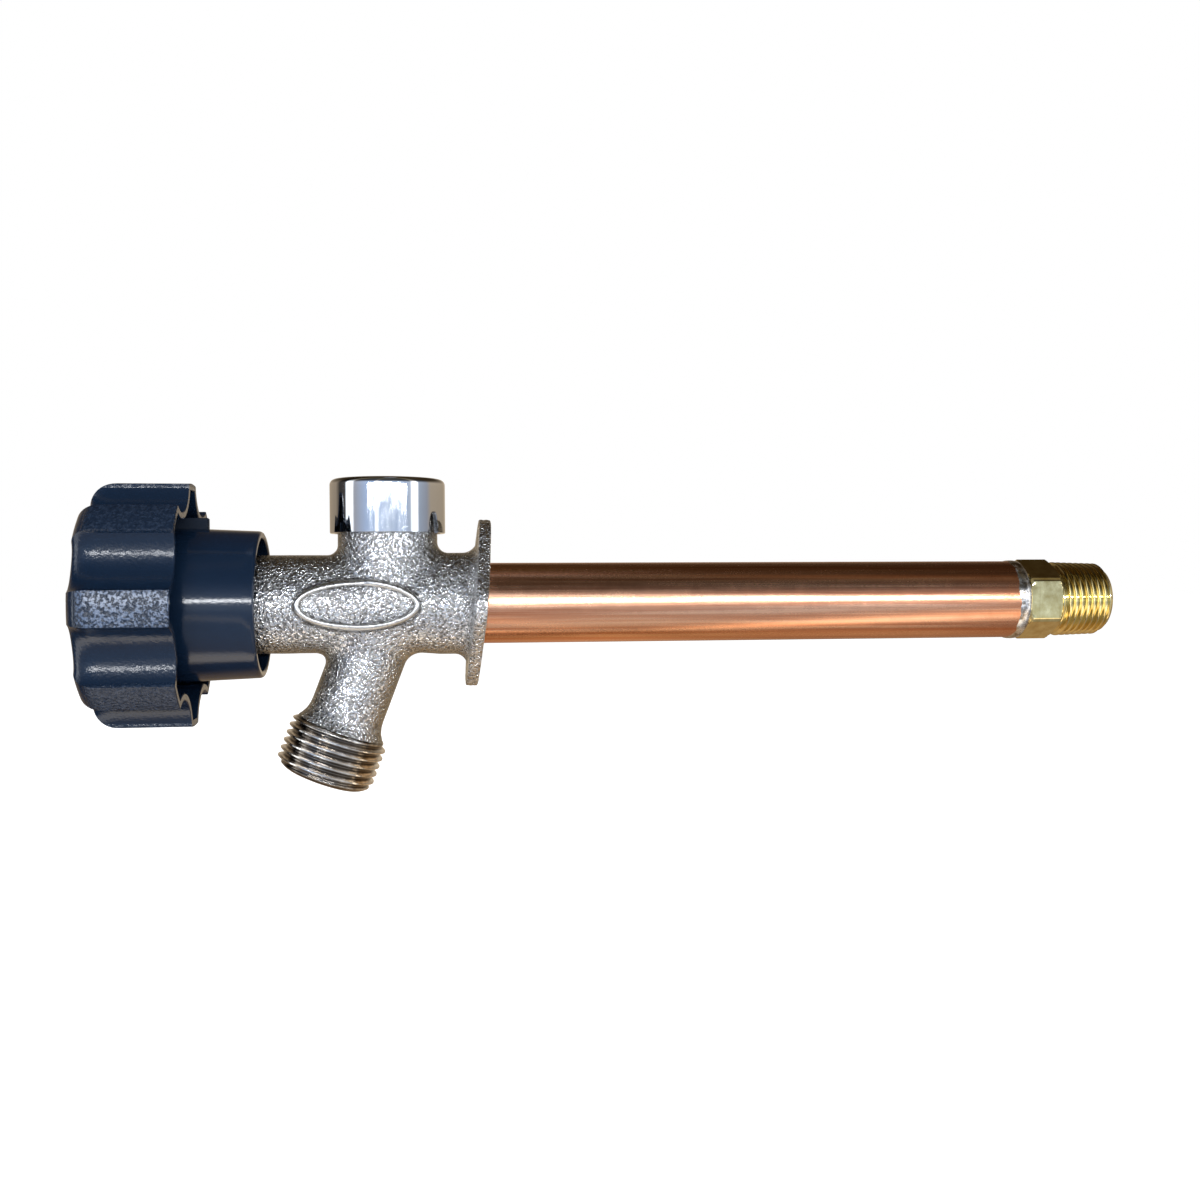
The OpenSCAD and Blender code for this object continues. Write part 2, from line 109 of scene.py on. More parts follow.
class Nodes:
    """A node tree to which nodes are added by type, settings and inputs.

    An input goes by its name, with _ for a space, or by its number, as n0. What comes back is the
    new node's outputs by name."""

    def __init__(self, tree):
        self.tree = tree

    def add(self, kind, settings=None, **inputs):
        node = self.tree.nodes.new(kind)
        for name, value in (settings or {}).items():
            if name == "stops":
                stops = node.color_ramp.elements
                while len(stops) < len(value):
                    stops.new(0.5)
                for stop, (place, colour) in zip(stops, value):
                    stop.position = place
                    stop.color = (*colour, 1)
            else:
                setattr(node, name, value)
        for name, value in inputs.items():
            key = name.replace("_", " ")
            if key[0] == "n" and key[1:].isdigit():
                plug(self.tree, node.inputs[int(key[1:])], value)
            else:
                plug(self.tree, next(s for s in node.inputs if s.name == key and s.enabled), value)
        return {s.name: Sock(self.tree, s) for s in reversed(node.outputs) if s.enabled}


def stage_material(name, shader_of):
    material = bpy.data.materials.new(name)
    material.use_nodes = True
    tree = material.node_tree
    tree.nodes.clear()
    n = Nodes(tree)
    out = tree.nodes.new("ShaderNodeOutputMaterial")
    plug(tree, out.inputs["Surface"], shader_of(n))
    return material


def plane(name, corners, material):
    mesh = bpy.data.meshes.new(name)
    mesh.from_pydata(corners, [], [tuple(range(len(corners)))])
    mesh.materials.append(material)
    obj = bpy.data.objects.new(name, mesh)
    bpy.context.scene.collection.objects.link(obj)


def seen_directly(n):
    """1 for what the lens sees, also through a mirror or glass, and 0 for diffuse light"""
    path = n.add("ShaderNodeLightPath")
    return path["Is Camera Ray"].math("MAXIMUM", path["Is Glossy Ray"]).math(
        "MAXIMUM", path["Is Transmission Ray"])


def floor_shader(n):
    lit = n.add("ShaderNodeBsdfDiffuse", Color=(0.86, 0.86, 0.86, 1))["BSDF"]
    glow = n.add("ShaderNodeEmission", Color=(1, 1, 1, 1),
                 Strength=seen_directly(n) * 0.72)["Emission"]
    return n.add("ShaderNodeAddShader", n0=lit, n1=glow)["Shader"]


plane("floor", [(x, y, FLOOR_Z) for x, y in ((-6, -6), (6, -6), (6, 6), (-6, 6))],
      stage_material("floor_white", floor_shader))

world = bpy.data.worlds.new("world")
bpy.context.scene.world = world
world.use_nodes = True
world.node_tree.nodes.clear()
wn = Nodes(world.node_tree)
grey = wn.add("ShaderNodeBackground", Color=(0.93, 0.96, 1, 1), Strength=0.42)["Background"]
white = wn.add("ShaderNodeBackground", Color=(1, 1, 1, 1), Strength=1.0)["Background"]
plug(world.node_tree, world.node_tree.nodes.new("ShaderNodeOutputWorld").inputs["Surface"],
     wn.add("ShaderNodeMixShader", n0=seen_directly(wn), n1=grey, n2=white)["Shader"])


def surround_shader(n):
    place = n.add("ShaderNodeTexCoord")["Object"]
    unit = n.add("ShaderNodeVectorMath", {"operation": "NORMALIZE"}, n0=place)["Vector"]
    axes = n.add("ShaderNodeSeparateXYZ", Vector=unit)
    # rise is 0 straight down and 1 straight up; turn is 0 behind, 0.25 left and 0.5 in front
    rise = axes["Z"].math("ARCSINE") / math.pi + 0.5
    turn = axes["X"].math("ARCTAN2", axes["Y"] * -1) / (2 * math.pi) + 0.5
    band = n.add("ShaderNodeValToRGB", {"stops": [
        (0.0, (0.62, 0.47, 0.3)), (0.10, (0.84, 0.66, 0.46)), (0.22, (1.0, 0.84, 0.66)),
        (0.36, (0.76, 0.7, 0.64)), (0.45, (0.7, 0.71, 0.73)), (0.475, (1.25, 1.25, 1.2)),
        (0.491, (1.3, 1.3, 1.25)), (0.4935, (0.8, 0.82, 0.84)), (0.55, (1.05, 1.07, 1.1)),
        (0.59, (0.75, 0.76, 0.78)), (0.64, (0.4, 0.4, 0.4)), (0.69, (0.13, 0.12, 0.105)),
        (0.76, (0.08, 0.068, 0.05)), (0.84, (0.11, 0.09, 0.06)), (0.955, (0.11, 0.09, 0.06)),
        (0.97, (0.5, 0.52, 0.56)), (1.0, (0.6, 0.62, 0.66))]},
        Fac=rise)["Color"]
    around = n.add("ShaderNodeValToRGB", {"stops": [
        (0.0, (0.66, 0.53, 0.38)), (0.08, (0.42, 0.33, 0.23)), (0.17, (0.36, 0.28, 0.2)),
        (0.205, (0.05, 0.045, 0.04)), (0.25, (0.07, 0.06, 0.055)), (0.265, (2.2, 2.25, 2.3)),
        (0.295, (2.2, 2.25, 2.3)), (0.31, (0.45, 0.44, 0.46)), (0.38, (0.5, 0.61, 0.82)),
        (0.425, (0.5, 0.62, 0.84)), (0.432, (1.5, 1.5, 1.5)), (0.443, (1.5, 1.5, 1.5)),
        (0.45, (0.54, 0.65, 0.86)), (0.5, (0.62, 0.71, 0.86)), (0.55, (0.52, 0.62, 0.8)),
        (0.6, (0.5, 0.58, 0.74)), (0.625, (0.6, 0.65, 0.74)), (0.64, (2.4, 2.4, 2.4)),
        (0.665, (2.4, 2.4, 2.4)), (0.68, (0.42, 0.47, 0.55)), (0.735, (0.35, 0.36, 0.4)),
        (0.77, (0.46, 0.37, 0.27)), (0.92, (0.42, 0.33, 0.23)), (1.0, (0.66, 0.53, 0.38))]},
        Fac=turn)["Color"]
    tint = n.add("ShaderNodeMix", {"data_type": "RGBA", "blend_type": "MULTIPLY"},
                 Factor=1.0, A=band, B=around)["Result"]
    return n.add("ShaderNodeEmission", Color=tint, Strength=1.0)["Emission"]


surround_mesh = bpy.data.meshes.new("surround")
dome = bmesh.new()
bmesh.ops.create_uvsphere(dome, u_segments=64, v_segments=32, radius=1.3)
for vert in dome.verts:
    vert.co.z = max(vert.co.z, FLOOR_Z + 0.006)
dome.to_mesh(surround_mesh)
dome.free()
surround_mesh.materials.append(stage_material("surround_glow", surround_shader))
surround = bpy.data.objects.new("surround", surround_mesh)
bpy.context.scene.collection.objects.link(surround)
surround.location = MIDDLE
for rays in ("camera", "diffuse", "transmission", "volume_scatter", "shadow"):
    setattr(surround, "visible_" + rays, False)


def lamp(name, place, size, power, mirrored=False, colour=(1, 1, 1)):
    """A rectangular area lamp that faces the tap's middle"""
    data = bpy.data.lights.new(name, "AREA")
    data.shape = "RECTANGLE"
    data.size, data.size_y = size
    data.energy = power
    data.color = colour
    obj = bpy.data.objects.new(name, data)
    bpy.context.scene.collection.objects.link(obj)
    obj.location = place
    obj.rotation_euler = (Vector(MIDDLE) - Vector(place)).to_track_quat("-Z", "Y").to_euler()
    obj.visible_camera = False
    obj.visible_glossy = mirrored


lamp("strip", (0.02, -0.95, 0.118), (1.5, 0.03), 7.5, mirrored=True, colour=(0.96, 0.98, 1))
lamp("front", (0.05, -1.0, 0.55), (1.4, 0.9), 5.0)
lamp("behind", (0.05, 1.0, 0.6), (1.4, 0.9), 4.0)
lamp("under", (0.05, -0.9, -0.1), (1.2, 0.04), 0.7, colour=(1, 0.95, 0.9))


# Body casting
# One sand cast body with a bright nickel plate over the sand's grain: barrel, vacuum breaker neck,
# slanted spout and the two eared flange, run together with wide fillets and bored out by machine.
# It is computed as a distance field and skinned, so every fillet follows from its two surfaces.
MM = 0.001
# the neck's upright axis and the spout's slanted one meet on the barrel's, at x = BRANCH_X in mm
BRANCH_X = -26
SLANT = math.radians(21)
SPOUT = np.array([-math.sin(SLANT), 0.0, -math.cos(SLANT)])
# middle of the raised oval on the barrel, in metres
OVAL_X = -0.0337


def mesh_of(name, points, faces):
    """A mesh from points in millimetres"""
    mesh = bpy.data.meshes.new(name)
    mesh.from_pydata((points * MM).tolist(), [], faces)
    return mesh


def mesh_object(name, mesh, material, body, sharp):
    """A smooth shaded piece with edges sharp above an angle in degrees"""
    mesh.validate()
    mesh.polygons.foreach_set("use_smooth", [True] * len(mesh.polygons))
    mesh.set_sharp_from_angle(angle=math.radians(sharp))
    if material is not None:
        mesh.materials.clear()
        mesh.materials.append(material)
    obj = bpy.data.objects.new(name, mesh)
    bpy.context.scene.collection.objects.link(obj)
    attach(obj, body)
    return obj


def surface(name, build):
    """A principled material; build adds the nodes and returns the values of its sockets."""
    material = bpy.data.materials.new(name)
    material.use_nodes = True
    tree = material.node_tree
    shader = tree.nodes["Principled BSDF"]
    n = Nodes(tree)
    for socket, value in build(n).items():
        plug(tree, shader.inputs[socket], value)
    return material


def place_of(n, stretch=(1, 1, 1)):
    place = n.add("ShaderNodeTexCoord")["Object"]
    return n.add("ShaderNodeVectorMath", {"operation": "MULTIPLY"}, n0=place, n1=stretch)["Vector"]


def noise(n, vector, scale, detail=2.0, rough=0.5, warp=0.0):
    return n.add("ShaderNodeTexNoise", Vector=vector, Scale=scale, Detail=detail, Roughness=rough,
                 Distortion=warp)["Fac"]


def blend(n, factor, a, b):
    return n.add("ShaderNodeMix", {"data_type": "RGBA", "clamp_factor": True},
                 Factor=factor, A=a, B=b)["Result"]


def level(n, value, low, high, to_low=0.0, to_high=1.0):
    return n.add("ShaderNodeMapRange", Value=value, From_Min=low, From_Max=high, To_Min=to_low,
                 To_Max=to_high)["Result"]


def bump(n, height, distance, strength=1.0):
    return n.add("ShaderNodeBump", Height=height, Distance=distance, Strength=strength)["Normal"]


def cast_nickel(n):
    place = place_of(n)
    grain = n.add("ShaderNodeTexVoronoi", {"feature": "SMOOTH_F1"}, Vector=place, Scale=1150.0,
                  Smoothness=0.4)["Distance"]
    worm = level(n, noise(n, place, 1350, 1.0, 0.5, 0.6), 0.38, 0.58)
    sand = noise(n, place, 2400, 3, 0.6)
    height = worm * 0.7 + level(n, grain, 0.15, 0.75, 1.0, 0.0) * 0.25 + sand * 0.2
    pit = level(n, height, 0.2, 0.5, 1.0, 0.0)
    cloud = noise(n, place, 95, 4, 0.6)
    # painted shade: a dark ragged line is painted in the corner beside the oval rim
    axes = n.add("ShaderNodeSeparateXYZ", Vector=place)
    half_x, half_z = 0.0157, 0.0061
    along, up = (axes["X"] - OVAL_X) / half_x, axes["Z"] / half_z
    reach = (along * along + up * up).math("SQRT")
    steep = ((along * along) / half_x ** 2 + (up * up) / half_z ** 2).math("SQRT") / reach
    away = (reach - 1.0).math("ABSOLUTE") / steep
    flank = level(n, axes["Y"], -0.009, -0.0075, 1.0, 0.0)
    rim_shade = level(n, away, 0.001, 0.0016, 1.0, 0.0) * flank
    tone = blend(n, level(n, cloud, 0.35, 0.7), (0.74, 0.75, 0.76, 1), (0.88, 0.89, 0.9, 1))
    # painted shade: round y = 0, where the casting turns away from the front, the colour is darker
    # and browner than on the two flanks
    edge_shade = level(n, axes["Y"].math("ABSOLUTE"), 0.0035, 0.0095, 1.0, 0.0)
    tone = blend(n, edge_shade * 0.7, tone, (0.32, 0.275, 0.18, 1))
    # painted shade: the grain's low spots are darkened toward brown black
    colour = blend(n, pit * 0.72, tone, (0.09, 0.08, 0.065, 1))
    # painted shade beside the oval rim, broken up by the sand noise
    colour = blend(n, rim_shade * level(n, sand, 0.25, 0.5) * 0.85, colour, (0.08, 0.07, 0.06, 1))
    return {"Base Color": colour, "Metallic": 1.0,
            "Roughness": level(n, sand + pit * 0.4, 0.3, 1.0, 0.16, 0.38),
            "Normal": bump(n, height, 0.00034, 1.0)}


def round_union(a, b, radius):
    """a and b, with a fillet in the corner between them"""
    return np.maximum(radius, np.minimum(a, b)) - np.hypot(np.maximum(radius - a, 0),
                                                           np.maximum(radius - b, 0))


def round_cut(a, b, radius):
    """a without b, with the edge between them broken by a small radius"""
    return np.minimum(-radius, np.maximum(a, -b)) + np.hypot(np.maximum(radius + a, 0),
                                                             np.maximum(radius - b, 0))


def rounded(a, b, edge):
    """Where a and b are both inside, with the outer edge between them rounded"""
    return np.minimum(np.maximum(a, b), 0) + np.hypot(np.maximum(a, 0), np.maximum(b, 0)) - edge


def rod(x, r, start, end, radius, edge=0.0):
    """A rod along x from start to end, r being the distance from its axis"""
    return rounded(r - radius + edge, np.maximum(start - x, x - end) + edge, edge)


def ripple(x, y, z, size, seed):
    """Uneven waves of about one size, from -1 to 1"""
    rng = np.random.default_rng(seed)
    total = 0
    for _ in range(5):
        k = rng.normal(size=3)
        k *= 2 * math.pi / size / np.linalg.norm(k) * rng.uniform(0.7, 1.4)
        total = total + np.sin(x * k[0] + y * k[1] + z * k[2] + rng.uniform(0, 6.28))
    return total / 5


# sizes in mm: barrel, neck and spout with their ends, and the leaning flange, a disc of radius
# PLATE_R with an ear of radius EAR_R at EAR_AT on each side
BARREL_R, BARREL_FRONT, BARREL_BACK = 13.25, -64, -1
NECK_R, NECK_TOP = 13.3, 29
SPOUT_END, SPOUT_FLARE = 37.3, ((30.6, 32.4, 34.2, 35.6, 36.6), (10.0, 10.12, 10.6, 11.4, 12.0))
PLATE_R, EAR_R, EAR_AT, HALF_PLATE, PLATE_EDGE = 22.9, 7, 25.4, 1.6, 0.45
LEAN = math.radians(5)
NECK_FILLET, SPOUT_FILLET, PLATE_FILLET = 2.9, 3.3, 3.7
# bores of the barrel and of the neck: from, to, radius, broken edge
BARREL_BORES = ((-80, -10.5, 9.95, 0.1), (-80, -49, 10.35, 0.1), (-80, -62.2, 12.15, 0.15),
                (-11.5, 20, 11.13, 0.1), (-2.66, 20, 12.21, 0.15))
NECK_BORES = ((14, 40, 10.0, 0.15), (0, 40, 5.5, 0.1))
SPOUT_BORE_R, SCREW_HOLE_R = 8, 2.8


def casting_field(p):
    """Distance in mm from the casting's skin, less than 0 inside it"""
    x, y, z = p[..., 0], p[..., 1], p[..., 2]
    axis_r, neck_r = np.hypot(y, z), np.hypot(x - BRANCH_X, y)
    # the barrel swells towards the flange, where it holds the tube
    swell = 0.7 * np.clip((x + 20) / 8, 0, 1)
    barrel = rod(x, axis_r - swell, BARREL_FRONT, BARREL_BACK, BARREL_R, 0.4)
    neck = rod(z, neck_r, 0, NECK_TOP, NECK_R + 0.1 * np.clip(z / 12, 0, 1), 0.4)
    run = (x - BRANCH_X) * SPOUT[0] + z * SPOUT[2]
    spout_r = np.sqrt(np.maximum((x - BRANCH_X) ** 2 + y ** 2 + z ** 2 - run ** 2, 0))
    spout = np.maximum((spout_r - np.interp(run, *SPOUT_FLARE)) * 0.9,
                       np.maximum(run - SPOUT_END, 2 - run))
    # the flange's outline: disc, ear, and the straight edge that touches both
    cx = x * math.cos(LEAN) - z * math.sin(LEAN)
    cz = x * math.sin(LEAN) + z * math.cos(LEAN)
    b = (PLATE_R - EAR_R) / EAR_AT
    a = math.sqrt(1 - b ** 2)
    ax, ay = np.abs(cz), np.abs(y)
    k = ay * a - ax * b
    plate = np.where(k < 0, np.hypot(ax, ay) - PLATE_R,
                     np.where(k > a * EAR_AT, np.hypot(ax, ay - EAR_AT) - EAR_R,
                              ax * a + ay * b - PLATE_R))
    # its edge is as rough as the sand left it
    plate = plate + 0.16 * ripple(x, y, z, 2.6, seed=11) + 0.1 * ripple(x, y, z, 1.5, seed=12)
    thick = np.abs(cx + HALF_PLATE) - HALF_PLATE
    flange = rounded(plate + PLATE_EDGE, thick + PLATE_EDGE, PLATE_EDGE)
    # the fillet between barrel and neck shrinks towards the two flanks
    inner = np.clip(1.06 - (np.abs(y) / 12.6) ** 2, 0.03, 1)
    body = round_union(barrel, neck, NECK_FILLET * inner)
    body = round_union(body, spout, SPOUT_FILLET)
    body = round_union(body, flange, PLATE_FILLET)
    # the sand's slow waviness and the low ridge where the two mould halves met
    body = body + 0.05 * ripple(x, y, z, 9, seed=3) + 0.035 * ripple(x, y, z, 4.5, seed=4)
    body = body - 0.13 * np.exp(-(y / 0.45) ** 2) * np.clip((-22 - x) / 8, 0, 1)
    # the wall face, then the bores and the screw holes
    body = np.maximum(body, cx)
    for place, r, bores in ((x, axis_r, BARREL_BORES), (z, neck_r, NECK_BORES)):
        for start, end, radius, edge in bores:
            body = round_cut(body, rod(place, r, start, end, radius), edge)
    body = round_cut(body, np.maximum(spout_r - SPOUT_BORE_R, -run), 0.15)
    for side in (-EAR_AT, EAR_AT):
        body = round_cut(body, np.hypot(cz, y - side) - SCREW_HOLE_R, 0.25)
    return body


def skin(field, low, high, step):
    """Surface nets: one point in each cell that the surface crosses, then moved onto it."""
    axes = [np.arange(a, b + step, step) for a, b in zip(low, high)]
    grid = np.stack(np.meshgrid(*axes, indexing="ij"), -1)
    d = np.empty(grid.shape[:3])
    for i in range(len(axes[0])):
        d[i] = field(grid[i])
    neg = d < 0
    corner = [(i, j, k) for i in (0, 1) for j in (0, 1) for k in (0, 1)]
    shape = tuple(s - 1 for s in d.shape)
    part = {c: tuple(slice(o, o + s) for o, s in zip(c, shape)) for c in corner}
    count = sum(neg[part[c]].astype(np.int8) for c in corner)
    cells = np.argwhere((count > 0) & (count < 8))
    index = -np.ones(shape, dtype=np.int64)
    index[tuple(cells.T)] = np.arange(len(cells))
    total, hits = np.zeros((len(cells), 3)), np.zeros(len(cells))
    for c in corner:
        for axis in range(3):
            if c[axis]:
                continue
            e = list(c)
            e[axis] = 1
            d0, d1 = d[tuple((cells + c).T)], d[tuple((cells + e).T)]
            cross = (d0 < 0) != (d1 < 0)
            t = np.where(cross, d0 / np.where(cross, d0 - d1, 1), 0)
            at = np.array(c, float) + np.outer(t, np.eye(3)[axis])
            total += at * cross[:, None]
            hits += cross
    points = np.array(low) + (cells + total / hits[:, None]) * step
    quads = []
    for axis in range(3):
        b, c = (axis + 1) % 3, (axis + 2) % 3
        first = [slice(None)] * 3
        second = [slice(None)] * 3
        first[axis], second[axis] = slice(0, -1), slice(1, None)
        n0, n1 = neg[tuple(first)], neg[tuple(second)]
        edges = np.argwhere(n0 != n1)
        edges = edges[(edges[:, b] > 0) & (edges[:, c] > 0)
                      & (edges[:, b] < shape[b]) & (edges[:, c] < shape[c])]
        out = n0[tuple(edges.T)]
        ring = []
        for db, dc in ((1, 1), (0, 1), (0, 0), (1, 0)):
            q = edges.copy()
            q[:, b] -= db
            q[:, c] -= dc
            ring.append(index[tuple(q.T)])
        ring = np.stack(ring, 1)
        quads.append(np.where(out[:, None], ring, ring[:, ::-1]))
    near = 0.02
    for _ in range(4):
        slope = np.stack([(field(points + near * v) - field(points - near * v)) / (2 * near)
                          for v in np.eye(3)], 1)
        move = -field(points)[:, None] * slope / np.maximum((slope ** 2).sum(1), 0.3)[:, None]
        points = points + np.clip(move, -0.3, 0.3)
    return points, np.concatenate(quads)


nickel = surface("cast_nickel", cast_nickel)
# the box that holds the casting, in mm, is cut into cells of half a millimetre
cast_points, cast_quads = skin(casting_field, (-65, -33.5, -40.5), (3.5, 33.5, 30.5), 0.5)
casting = mesh_object("body_casting", mesh_of("body_casting", cast_points, cast_quads.tolist()),
                      nickel, "body", sharp=50)
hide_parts("valve_body")


# Raised oval on the barrel
# A raised rim on the side of the barrel, cast with it: a half round section swept along an ellipse
# that is a little slimmer at its ends, bent round the barrel.
def group(name, inputs):
    tree = bpy.data.node_groups.new(name, "GeometryNodeTree")
    tree.interface.new_socket("Geometry", in_out="INPUT", socket_type="NodeSocketGeometry")
    for label, kind in inputs:
        tree.interface.new_socket(label, in_out="INPUT", socket_type=kind)
    tree.interface.new_socket("Geometry", in_out="OUTPUT", socket_type="NodeSocketGeometry")
    n = Nodes(tree)
    given = tree.nodes.new("NodeGroupInput")
    return tree, n, {s.name: Sock(tree, s) for s in given.outputs if s.name}


def close_group(tree, n, geometry, material):
    real = n.add("GeometryNodeRealizeInstances", Geometry=geometry)["Geometry"]
    done = n.add("GeometryNodeSetMaterial", Geometry=real, Material=material)["Geometry"]
    plug(tree, tree.nodes.new("NodeGroupOutput").inputs["Geometry"], done)


def baked(tree, values, base=None):
    """The mesh that a node group gives for these values"""
    obj = bpy.data.objects.new("bake", base or bpy.data.meshes.new("bake"))
    bpy.context.scene.collection.objects.link(obj)
    modifier = obj.modifiers.new("bake", "NODES")
    modifier.node_group = tree
    for item in tree.interface.items_tree:
        if item.in_out == "INPUT" and item.name in values:
            modifier[item.identifier] = values[item.name]
    obj.update_tag()
    bpy.context.view_layer.update()
    depsgraph = bpy.context.evaluated_depsgraph_get()
    mesh = bpy.data.meshes.new_from_object(obj.evaluated_get(depsgraph), depsgraph=depsgraph)
    obj.modifiers.remove(modifier)
    bpy.data.objects.remove(obj)
    return mesh


def outward(mesh):
    """Faces of a closed mesh turned outwards"""
    work = bmesh.new()
    work.from_mesh(mesh)
    bmesh.ops.recalc_face_normals(work, faces=work.faces)
    work.to_mesh(mesh)
    work.free()


FLOAT, INT, MATERIAL = "NodeSocketFloat", "NodeSocketInt", "NodeSocketMaterial"
band_tree, n, given = group("oval_band", [("Half length", FLOAT), ("Half height", FLOAT),
                                          ("Width", FLOAT), ("Height", FLOAT), ("Around", INT),
                                          ("Across", INT), ("Material", MATERIAL)])
strip = n.add("GeometryNodeMeshGrid", Size_X=1.0, Size_Y=1.0, Vertices_X=given["Around"],
              Vertices_Y=given["Across"])["Mesh"]
spot = n.add("ShaderNodeSeparateXYZ", Vector=n.add("GeometryNodeInputPosition")["Position"])
turn = (spot["X"] + 0.5) * (2 * math.pi)
over = (spot["Y"] + 0.5) * (2 * math.pi)
# a rounded section that dips below the surface, swept along the oval
side = over.math("COSINE") * given["Width"] * 0.5
lift = over.math("SINE").math("MAXIMUM", -0.6) * given["Height"]
reach_x = given["Half length"] - given["Width"] * 0.5 + side
reach_z = given["Half height"] - given["Width"] * 0.5 + side
cos_t, sin_t = turn.math("COSINE"), turn.math("SINE")
band_x = cos_t * reach_x
band_z = sin_t * reach_z * (1.0 - cos_t * cos_t * 0.03)
band_y = lift * -1
where = n.add("ShaderNodeCombineXYZ", X=band_x, Y=band_y, Z=band_z)["Vector"]
laid = n.add("GeometryNodeSetPosition", Geometry=strip, Position=where)["Geometry"]
welded = n.add("GeometryNodeMergeByDistance", Geometry=laid, Distance=1e-6)["Geometry"]
close_group(band_tree, n, welded, given["Material"])


def rim_nickel(n):
    place = place_of(n)
    sand = noise(n, place, 1500, 3, 0.6)
    tone = level(n, sand, 0.35, 0.7)
    return {"Base Color": blend(n, tone, (0.66, 0.65, 0.63, 1), (0.9, 0.9, 0.89, 1)),
            "Metallic": 1.0, "Roughness": level(n, sand, 0.3, 0.7, 0.24, 0.42),
            "Normal": bump(n, sand, 0.00012, 0.7)}


rim_material = surface("rim_nickel", rim_nickel)
band = baked(band_tree, {"Half length": 0.0165, "Half height": 0.00685, "Width": 0.0017,
                         "Height": 0.0008, "Around": 241, "Across": 17, "Material": rim_material})
band.transform(Matrix.Translation((OVAL_X, 0, 0)))
flat = np.empty(len(band.vertices) * 3)
band.vertices.foreach_get("co", flat)
flat = flat.reshape(-1, 3) / MM
# each point is laid on the casting's near skin, whose y is found by halving, between -17 and -8 mm
near, far = np.full(len(flat), -17.0), np.full(len(flat), -8.0)
for _ in range(24):
    middle = (near + far) / 2
    out = casting_field(np.stack([flat[:, 0], middle, flat[:, 2]], 1)) > 0
    near, far = np.where(out, middle, near), np.where(out, far, middle)
flat[:, 1] += near
band.vertices.foreach_set("co", (flat * MM).ravel())
outward(band)
mesh_object("oval_rim", band, None, "body", sharp=60)


# Hose thread
# Garden hose thread cut on the spout's mouth: six turns of a right handed vee whose crests the
# tool left a little flat and shiny, with a bored mouth inside.
def thread_group():
    """A sheet wound into a screw thread along Z, welded to the liner that it is given"""
    tree, n, given = group("screw_thread", [
        ("Root", FLOAT), ("Depth", FLOAT), ("Pitch", FLOAT), ("Length", FLOAT), ("Turns", INT),
        ("Taper", FLOAT), ("Fade start", FLOAT), ("Fade end", FLOAT), ("Segments", INT),
        ("Rows", INT), ("Material", MATERIAL)])
    sheet = n.add("GeometryNodeMeshGrid", Size_X=1.0, Size_Y=1.0, Vertices_X=given["Segments"] + 1,
                  Vertices_Y=given["Rows"] + 1)["Mesh"]
    spot = n.add("ShaderNodeSeparateXYZ", Vector=n.add("GeometryNodeInputPosition")["Position"])
    u, v = spot["X"] + 0.5, spot["Y"] + 0.5
    laps = v * given["Turns"]
    free = (laps - 1 + u) * given["Pitch"]
    z = free.math("MAXIMUM", 0.0).math("MINIMUM", given["Length"])
    # a vee with narrow flats at crest and root, its corners a little rounded, that fades out at
    # both ends
    phase = (laps + 0.0005).math("FRACT")
    ridge = (0.4375 - (phase - 0.5).math("ABSOLUTE")) / 0.375
    ridge = ridge.math("MAXIMUM", 0.0).math("MINIMUM", 1.0)
    soft = ridge * ridge * (3.0 - ridge * 2.0)
    ridge = ridge * 0.55 + soft * 0.45
    start = (z / given["Fade start"]).math("MINIMUM", 1.0)
    end = ((given["Length"] - z) / given["Fade end"]).math("MINIMUM", 1.0)
    radius = given["Root"] + given["Taper"] * z + given["Depth"] * ridge * start * end
    angle = u * (2 * math.pi)
    where = n.add("ShaderNodeCombineXYZ", X=angle.math("COSINE") * radius,
                  Y=angle.math("SINE") * radius, Z=z)["Vector"]
    cut = n.add("GeometryNodeSetPosition", Geometry=sheet, Position=where)["Geometry"]
    both = n.add("GeometryNodeJoinGeometry")["Geometry"]
    for piece in (given["Geometry"], cut):
        tree.links.new(piece.out, both.out.node.inputs[0])
    welded = n.add("GeometryNodeMergeByDistance", Geometry=both, Distance=2e-6)["Geometry"]
    close_group(tree, n, welded, given["Material"])
    return tree


def ring_faces(rows, count, closed):
    """Faces between each ring of points and the next, and back to the first where it is closed"""
    faces = []
    for i in range(rows if closed else rows - 1):
        k = (i + 1) % rows
        for j in range(count):
            m = (j + 1) % count
            faces.append((i * count + j, i * count + m, k * count + m, k * count + j))
    return faces


def lathe(profile, angles, closed=False):
    """Points and faces of a profile of (z, r) turned about Z"""
    z, r = np.array(profile, float).T
    points = np.stack([r[:, None] * np.cos(angles), r[:, None] * np.sin(angles),
                       np.repeat(z[:, None], len(angles), 1)], -1).reshape(-1, 3)
    return points, ring_faces(len(z), len(angles), closed)


def weld(mesh):
    """Joins points of a mesh that lie in one place"""
    work = bmesh.new()
    work.from_mesh(mesh)
    bmesh.ops.remove_doubles(work, verts=work.verts, dist=1e-7)
    work.to_mesh(mesh)
    work.free()


def lathe_mesh(name, profile, segments, closed=False):
    angles = np.linspace(0, 2 * math.pi, segments, endpoint=False)
    mesh = mesh_of(name, *lathe(profile, angles, closed))
    weld(mesh)
    return mesh


